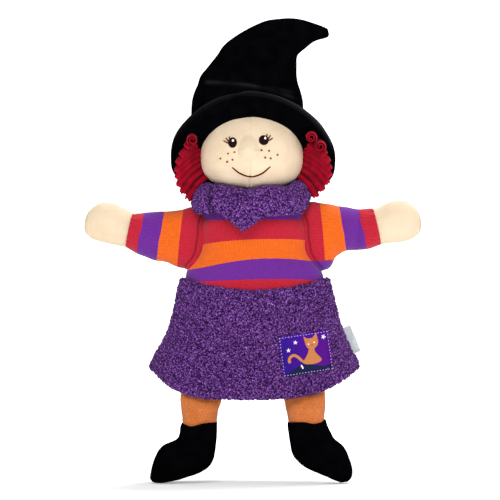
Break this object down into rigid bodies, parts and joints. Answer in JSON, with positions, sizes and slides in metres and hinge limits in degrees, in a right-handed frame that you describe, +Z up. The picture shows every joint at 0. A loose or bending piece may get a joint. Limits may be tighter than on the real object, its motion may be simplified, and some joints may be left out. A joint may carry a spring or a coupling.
{
  "type": "hand puppet",
  "caption": "Soft witch hand puppet with a hollow cloth body, stuffed head with a finger tube, finger sleeves, stuffed hands, dangling legs and a floppy pointed hat.",
  "frame": {"origin": "centre of the hand opening, on the finger tube's axis, level with the skirt's lowest edge", "axes": "+Z up along the finger tube, -Y the way the face looks, +X the side that the hat leans to"},
  "size_m": [0.2686, 0.0867, 0.3675],
  "materials": {
    "shirt_jersey": "ribbed knitted jersey, horizontal stripes of crimson, orange and violet",
    "collar_plush": "looped purple plush",
    "skirt_plush": "looped purple plush with short tufts",
    "head_jersey": "smooth beige cotton jersey",
    "hand_jersey": "smooth pale beige cotton jersey",
    "velour": "near-black velour with a short pile",
    "hair_felt": "crimson jersey strips with cut edges",
    "leg_fleece": "orange brushed jersey",
    "lining": "plain cotton lining and tape",
    "waist_tape": "woven cotton tape",
    "thread": "dark brown embroidery thread",
    "patch_satin": null,
    "patch_thread": "lilac sewing thread",
    "label_satin": "blank white satin tape",
    "stuffing": "loose polyester filling",
    "tube_card": "rolled grey-brown card"
  },
  "bodies": {
    "torso": {"shirt_front": "shirt_jersey", "shirt_back": "shirt_jersey", "collar_under": "collar_plush", "collar_over": "collar_plush", "waist_tape": "waist_tape", "glove_sleeve": "lining", "skirt_front": "skirt_plush", "skirt_back": "skirt_plush", "hip_tapes": "lining", "patch": "patch_satin", "patch_stitching": "patch_thread"},
    "neck": {"neck_band": "head_jersey", "neck_tie": "thread"},
    "head": {"finger_tube": "tube_card", "head_stuffing": "stuffing", "face_left": "head_jersey", "face_right": "head_jersey", "head_back": "velour", "nose": "head_jersey", "eye_left": "thread", "eye_right": "thread", "freckles": "thread", "mouth": "thread", "hair_left": "hair_felt", "hair_right": "hair_felt", "hat_crown": "velour", "hat_stuffing": "stuffing", "hat_brim": "velour"},
    "hat_tip": {"hat_tip": "velour", "hat_tip_stuffing": "stuffing"},
    "arm_left": {"sleeve_left": "shirt_jersey"},
    "arm_right": {"sleeve_right": "shirt_jersey"},
    "hand_left": {"hand_left": "hand_jersey", "hand_stuffing_left": "stuffing"},
    "hand_right": {"hand_right": "hand_jersey", "hand_stuffing_right": "stuffing"},
    "leg_left": {"leg_left": "leg_fleece", "leg_stuffing_left": "stuffing"},
    "leg_right": {"leg_right": "leg_fleece", "leg_stuffing_right": "stuffing"},
    "foot_left": {"shoe_left": "velour", "shoe_stuffing_left": "stuffing"},
    "foot_right": {"shoe_right": "velour", "shoe_stuffing_right": "stuffing"},
    "label": {"label": "label_satin"}
  },
  "joints": [
    {"name": "head_nod", "type": "hinge", "parent": "torso", "child": "neck", "pos_m": [0, 0, 0.16], "axis": [1, 0, 0], "range_deg": [-15, 20], "stiffness_Nm_per_rad": 0.8},
    {"name": "head_turn", "type": "hinge", "parent": "neck", "child": "head", "pos_m": [0, 0, 0.161], "axis": [0, 0, 1], "range_deg": [-45, 45], "stiffness_Nm_per_rad": 0.2},
    {"name": "hat_tip_bend", "type": "hinge", "parent": "head", "child": "hat_tip", "pos_m": [0.0205, 0, 0.2876], "axis": [0, 1, 0], "range_deg": [-25, 25], "stiffness_Nm_per_rad": 0.05},
    {"name": "arm_left_raise", "type": "hinge", "parent": "torso", "child": "arm_left", "pos_m": [-0.04, 0, 0.12948], "axis": [0, 1, 0], "range_deg": [-35, 25], "stiffness_Nm_per_rad": 0.15},
    {"name": "hand_left_fold", "type": "hinge", "parent": "arm_left", "child": "hand_left", "pos_m": [-0.09752, 0, 0.13695], "axis": [0, 0, 1], "range_deg": [-10, 40], "stiffness_Nm_per_rad": 0.03},
    {"name": "leg_left_swing", "type": "hinge", "parent": "torso", "child": "leg_left", "pos_m": [-0.0415, -0.02, 0.0008], "axis": [-1, 0, 0], "range_deg": [-20, 35]},
    {"name": "foot_left_bend", "type": "hinge", "parent": "leg_left", "child": "foot_left", "pos_m": [-0.0415, -0.02, -0.0179], "axis": [1, 0, 0], "range_deg": [-20, 20], "stiffness_Nm_per_rad": 0.02},
    {"name": "arm_right_raise", "type": "hinge", "parent": "torso", "child": "arm_right", "pos_m": [0.04, 0, 0.12948], "axis": [0, -1, 0], "range_deg": [-35, 25], "stiffness_Nm_per_rad": 0.15},
    {"name": "hand_right_fold", "type": "hinge", "parent": "arm_right", "child": "hand_right", "pos_m": [0.09752, 0, 0.13695], "axis": [0, 0, -1], "range_deg": [-10, 40], "stiffness_Nm_per_rad": 0.03},
    {"name": "leg_right_swing", "type": "hinge", "parent": "torso", "child": "leg_right", "pos_m": [0.0415, -0.02, 0.0008], "axis": [-1, 0, 0], "range_deg": [-20, 35]},
    {"name": "foot_right_bend", "type": "hinge", "parent": "leg_right", "child": "foot_right", "pos_m": [0.0415, -0.02, -0.0179], "axis": [1, 0, 0], "range_deg": [-20, 20], "stiffness_Nm_per_rad": 0.02},
    {"name": "label_flip", "type": "hinge", "parent": "torso", "child": "label", "pos_m": [0.07549, 0, 0.04689], "axis": [0.3891, 0, -0.9212], "range_deg": [-60, 60], "stiffness_Nm_per_rad": 0.0005}
  ]
}
